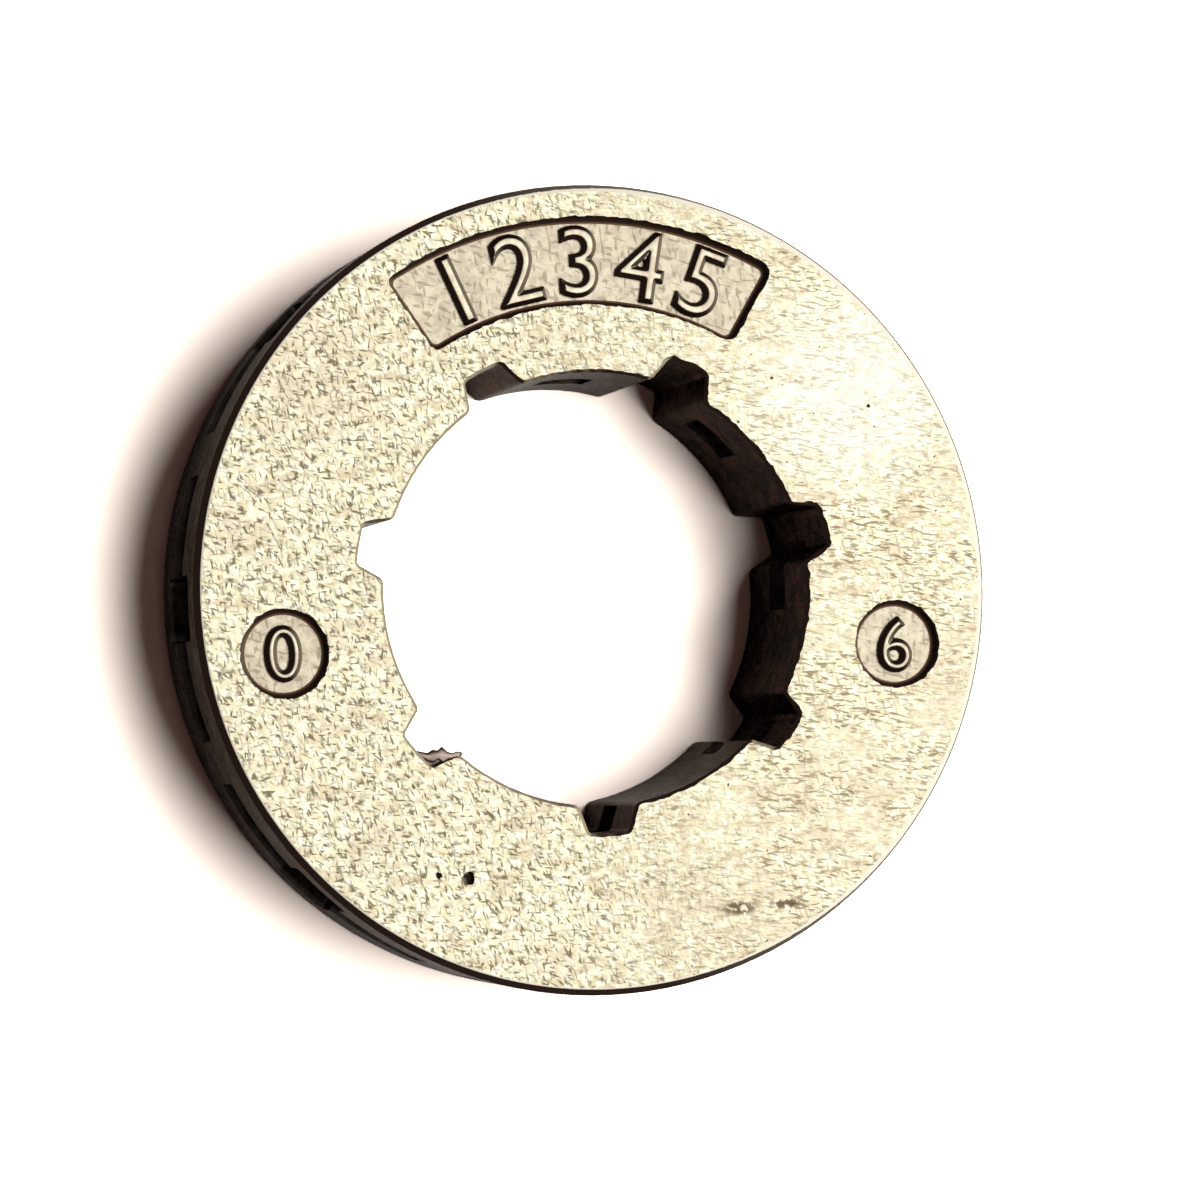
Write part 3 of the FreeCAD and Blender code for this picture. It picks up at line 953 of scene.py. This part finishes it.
def numerals(name, marks):
    """One piece from marks given as text, height, place and turn."""
    group = bmesh.new()
    for text, height, (across, up), turn in marks:
        mesh = digit_mesh(text, height)
        spot = Matrix.Translation((across, up, RELIEF_TOP))
        mesh.transform(spot @ Matrix.Rotation(turn, 4, "Z"))
        group.from_mesh(mesh)
    piece = link_piece(name, mesh_from(group, name))
    remesh = piece.modifiers.new("melt", "REMESH")
    remesh.mode = "VOXEL"
    remesh.voxel_size = NUMERAL_VOXEL
    remesh.use_smooth_shade = True
    soften = piece.modifiers.new("soften", "SMOOTH")
    soften.factor = MELT_SHARE
    soften.iterations = MELT_PASSES
    bpy.context.view_layer.update()
    mesh = settled_mesh(piece, name)
    piece.modifiers.clear()
    piece.data = mesh
    mesh.materials.clear()
    mesh.materials.append(numeral_steel)
    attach(piece, "root")
    top = max(v.co.z for v in mesh.vertices)
    print(name, len(mesh.polygons), "faces, top at", round(top / MM, 3), "mm")


# %% The three sets of marks
LABEL_TEXT = "12345"
LABEL_HEIGHT = 3.1 * MM
LABEL_RADIUS = 15.0 * MM
LABEL_STEP = math.radians(11.25)
ROUND_HEIGHT = 2.35 * MM
LEFT_ROUND = (-14.52 * MM, -2.3 * MM)
RIGHT_ROUND = (14.1 * MM, -3.15 * MM)

label_marks = []
for index, text in enumerate(LABEL_TEXT):
    turn = (len(LABEL_TEXT) // 2 - index) * LABEL_STEP
    spot = (-LABEL_RADIUS * math.sin(turn), LABEL_RADIUS * math.cos(turn))
    label_marks.append((text, LABEL_HEIGHT, spot, turn))

numerals("label_numerals", label_marks)
numerals("left_numeral", [("0", ROUND_HEIGHT, LEFT_ROUND, 0.0)])
numerals("right_numeral", [("6", ROUND_HEIGHT, RIGHT_ROUND, 0.0)])

# %% [markdown]
# ## The torn burr
# In the lower left groove a shaving hangs from the edge of one side wall, painted dark brown as shade
# round a grey middle. It is a thin strip that is cut finely, swollen and bent by noise, and laid along
# the wall.

# %% Burr
BURR_START = Vector((-8.85, -7.2, 9.70)) * MM
BURR_END = Vector((-6.65, -7.15, 9.86)) * MM
BURR_DEEP = 0.55 * MM
BURR_THICK = 0.4 * MM
BURR_WAVE = 0.3 * MM
BURR_ROUGH = 0.05 * MM
BURR_CUTS = 9
BURR_BLUNT = 0.04
BURR_TAPER = 0.6
BURR_ROUND = 1.9
WAVES = 3.1
WAVE_SEED = 1.7
RIPPLES = 9.0
RIPPLE_SEED = 4.2
ROUGH_SCALE = 4


def burr_spot(t, across, up):
    """Where a point of the strip goes: t is 0 to 1 along it, across and up are -0.5 to 0.5."""
    along = BURR_END - BURR_START
    side = Vector((0, 0, 1)).cross(along).normalized()
    taper = math.sin(math.pi * min(max(t, BURR_BLUNT), 1 - BURR_BLUNT)) ** BURR_TAPER
    wave = noise.noise(Vector((t * WAVES, WAVE_SEED, 0)))
    ripple = noise.noise(Vector((t * RIPPLES, RIPPLE_SEED, 0)))
    roundness = math.sqrt(1 - (BURR_ROUND * across) ** 2)
    spot = BURR_START + along * t
    spot += side * (across * BURR_DEEP * taper * (1 + ripple) + wave * BURR_WAVE)
    spot.z += up * BURR_THICK * taper * roundness * (1 + wave)
    return spot + Vector((0, 0, BURR_ROUGH * noise.noise(spot / MM * ROUGH_SCALE)))


def add_burr():
    body = bmesh.new()
    bmesh.ops.create_cube(body, size=1)
    bmesh.ops.subdivide_edges(body, edges=body.edges[:], cuts=BURR_CUTS, use_grid_fill=True)
    for vertex in body.verts:
        vertex.co = burr_spot(vertex.co.x + 0.5, vertex.co.y, vertex.co.z)
    for face in body.faces:
        face.smooth = True
    piece = link_piece("burr", mesh_from(body, "burr"))
    piece.data.materials.append(torn_steel)
    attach(piece, "root")
    return piece


burr = add_burr()
print("burr:", len(burr.data.polygons), "faces")

# %% [markdown]
# ## Table and light
# The ring lies on plain white. The photograph's shadow starts dark at the foot of the wall, turns
# brown and is gone three millimetres out on the left, while at the top and bottom there is none. A
# broad oval lamp high up on the right gives that, a little wider up the picture than across it, on
# a table whose colour is so bright to the camera that about a third of the light already makes it
# white. Only a little pinkish light comes from the sky. To the camera the whole sky is plain white,
# and so is the part near the horizon in the steel's reflections.

# %% Table
WHITE = (1, 1, 1, 1)
TABLE_PLAIN = (0.9, 0.9, 0.9, 1)
TABLE_SHOWN = (2.48, 2.28, 2.11, 1)
TABLE_SIZE = 3000 * MM
TABLE_GAP = 0.02 * MM
SHADOW_REACH = 26


def mirror_rays(tree, rays):
    """1 for the rays that show the surroundings in metal and glass."""
    return larger(tree, rays["Is Glossy Ray"], rays["Is Transmission Ray"])


def table_material():
    """White that takes the ring's shadow; farther out it glows as plain white at any distance."""
    material, tree, shader, place = new_material("table_white")
    tree.nodes.remove(shader)
    rays = add_node(tree, "ShaderNodeLightPath").outputs
    mirrored = mirror_rays(tree, rays)
    seen = larger(tree, rays["Is Camera Ray"], mirrored)
    outside = fade(tree, axis_distance(tree, place), SHADOW_REACH, 2 * SHADOW_REACH)
    surface = add_node(tree, "ShaderNodeBsdfDiffuse", Color=TABLE_PLAIN).outputs["BSDF"]
    for kind, colour, part in (
        ("ShaderNodeBsdfDiffuse", WHITE, mirrored),
        ("ShaderNodeBsdfDiffuse", TABLE_SHOWN, rays["Is Camera Ray"]),
        ("ShaderNodeEmission", WHITE, times(tree, seen, outside)),
    ):
        mix = add_node(tree, "ShaderNodeMixShader", Fac=part)
        feed(tree, mix.inputs[1], surface)
        feed(tree, mix.inputs[2], add_node(tree, kind, Color=colour).outputs[0])
        surface = mix.outputs["Shader"]
    set_inputs(tree, tree.nodes["Material Output"], Surface=surface)
    return material


plate = bmesh.new()
bmesh.ops.create_grid(plate, x_segments=1, y_segments=1, size=TABLE_SIZE / 2)
bmesh.ops.translate(plate, verts=plate.verts, vec=(0, 0, -TABLE_GAP))
table = link_piece("table", mesh_from(plate, "table"))
table.data.materials.append(table_material())
print("table", TABLE_SIZE, "m wide")

# %% Lamp
LAMP_DISTANCE = 600 * MM
LAMP_ACROSS = 340 * MM
LAMP_UP = 430 * MM
LAMP_TILT = math.radians(19.4)
LAMP_HEADING = math.radians(-3)
LAMP_TINT = (1.0, 0.955, 0.92)
WHITE_LEVEL = 1.26


def add_lamp():
    """An oval lamp strong enough to light a white surface at WHITE_LEVEL."""
    lamp_data = bpy.data.lights.new("lamp", "AREA")
    lamp_data.shape = "ELLIPSE"
    lamp_data.size = LAMP_UP
    lamp_data.size_y = LAMP_ACROSS
    lamp_data.color = LAMP_TINT
    lamp_data.energy = WHITE_LEVEL * (math.pi * LAMP_DISTANCE) ** 2
    lamp = bpy.data.objects.new("lamp", lamp_data)
    toward = Vector((
        math.sin(LAMP_TILT) * math.cos(LAMP_HEADING),
        math.sin(LAMP_TILT) * math.sin(LAMP_HEADING),
        math.cos(LAMP_TILT),
    ))
    lamp.location = toward * LAMP_DISTANCE
    lamp.rotation_euler = toward.to_track_quat("Z", "Y").to_euler()
    bpy.context.scene.collection.objects.link(lamp)
    return lamp


lamp = add_lamp()
print("lamp power", round(lamp.data.energy, 2), "W")

# %% Surroundings
FILL = (0.027, 0.014, 0.012, 1)
FILL_HEIGHTS = (0.15, 0.8)
MIRRORED_HEIGHTS = (0.7, 0.3)


def add_surroundings():
    """Faint light from above, and plain white for the camera and for reflections from the side."""
    world = bpy.data.worlds.new("studio")
    world.use_nodes = True
    bpy.context.scene.world = world
    tree = world.node_tree
    fill = tree.nodes["Background"]
    way = add_node(tree, "ShaderNodeTexCoord").outputs["Object"]
    height = add_node(tree, "ShaderNodeSeparateXYZ", Vector=way).outputs["Z"]
    set_inputs(tree, fill, Color=FILL, Strength=fade(tree, height, *FILL_HEIGHTS))
    white = add_node(tree, "ShaderNodeBackground", Color=WHITE, Strength=1.0)
    rays = add_node(tree, "ShaderNodeLightPath").outputs
    mirrored = times(tree, mirror_rays(tree, rays), fade(tree, height, *MIRRORED_HEIGHTS))
    mix = add_node(tree, "ShaderNodeMixShader", Fac=larger(tree, rays["Is Camera Ray"], mirrored))
    feed(tree, mix.inputs[1], fill.outputs["Background"])
    feed(tree, mix.inputs[2], white.outputs["Background"])
    set_inputs(tree, tree.nodes["World Output"], Surface=mix.outputs["Shader"])


add_surroundings()
bpy.context.scene.view_settings.view_transform = "Standard"
print("world:", bpy.context.scene.world.name)
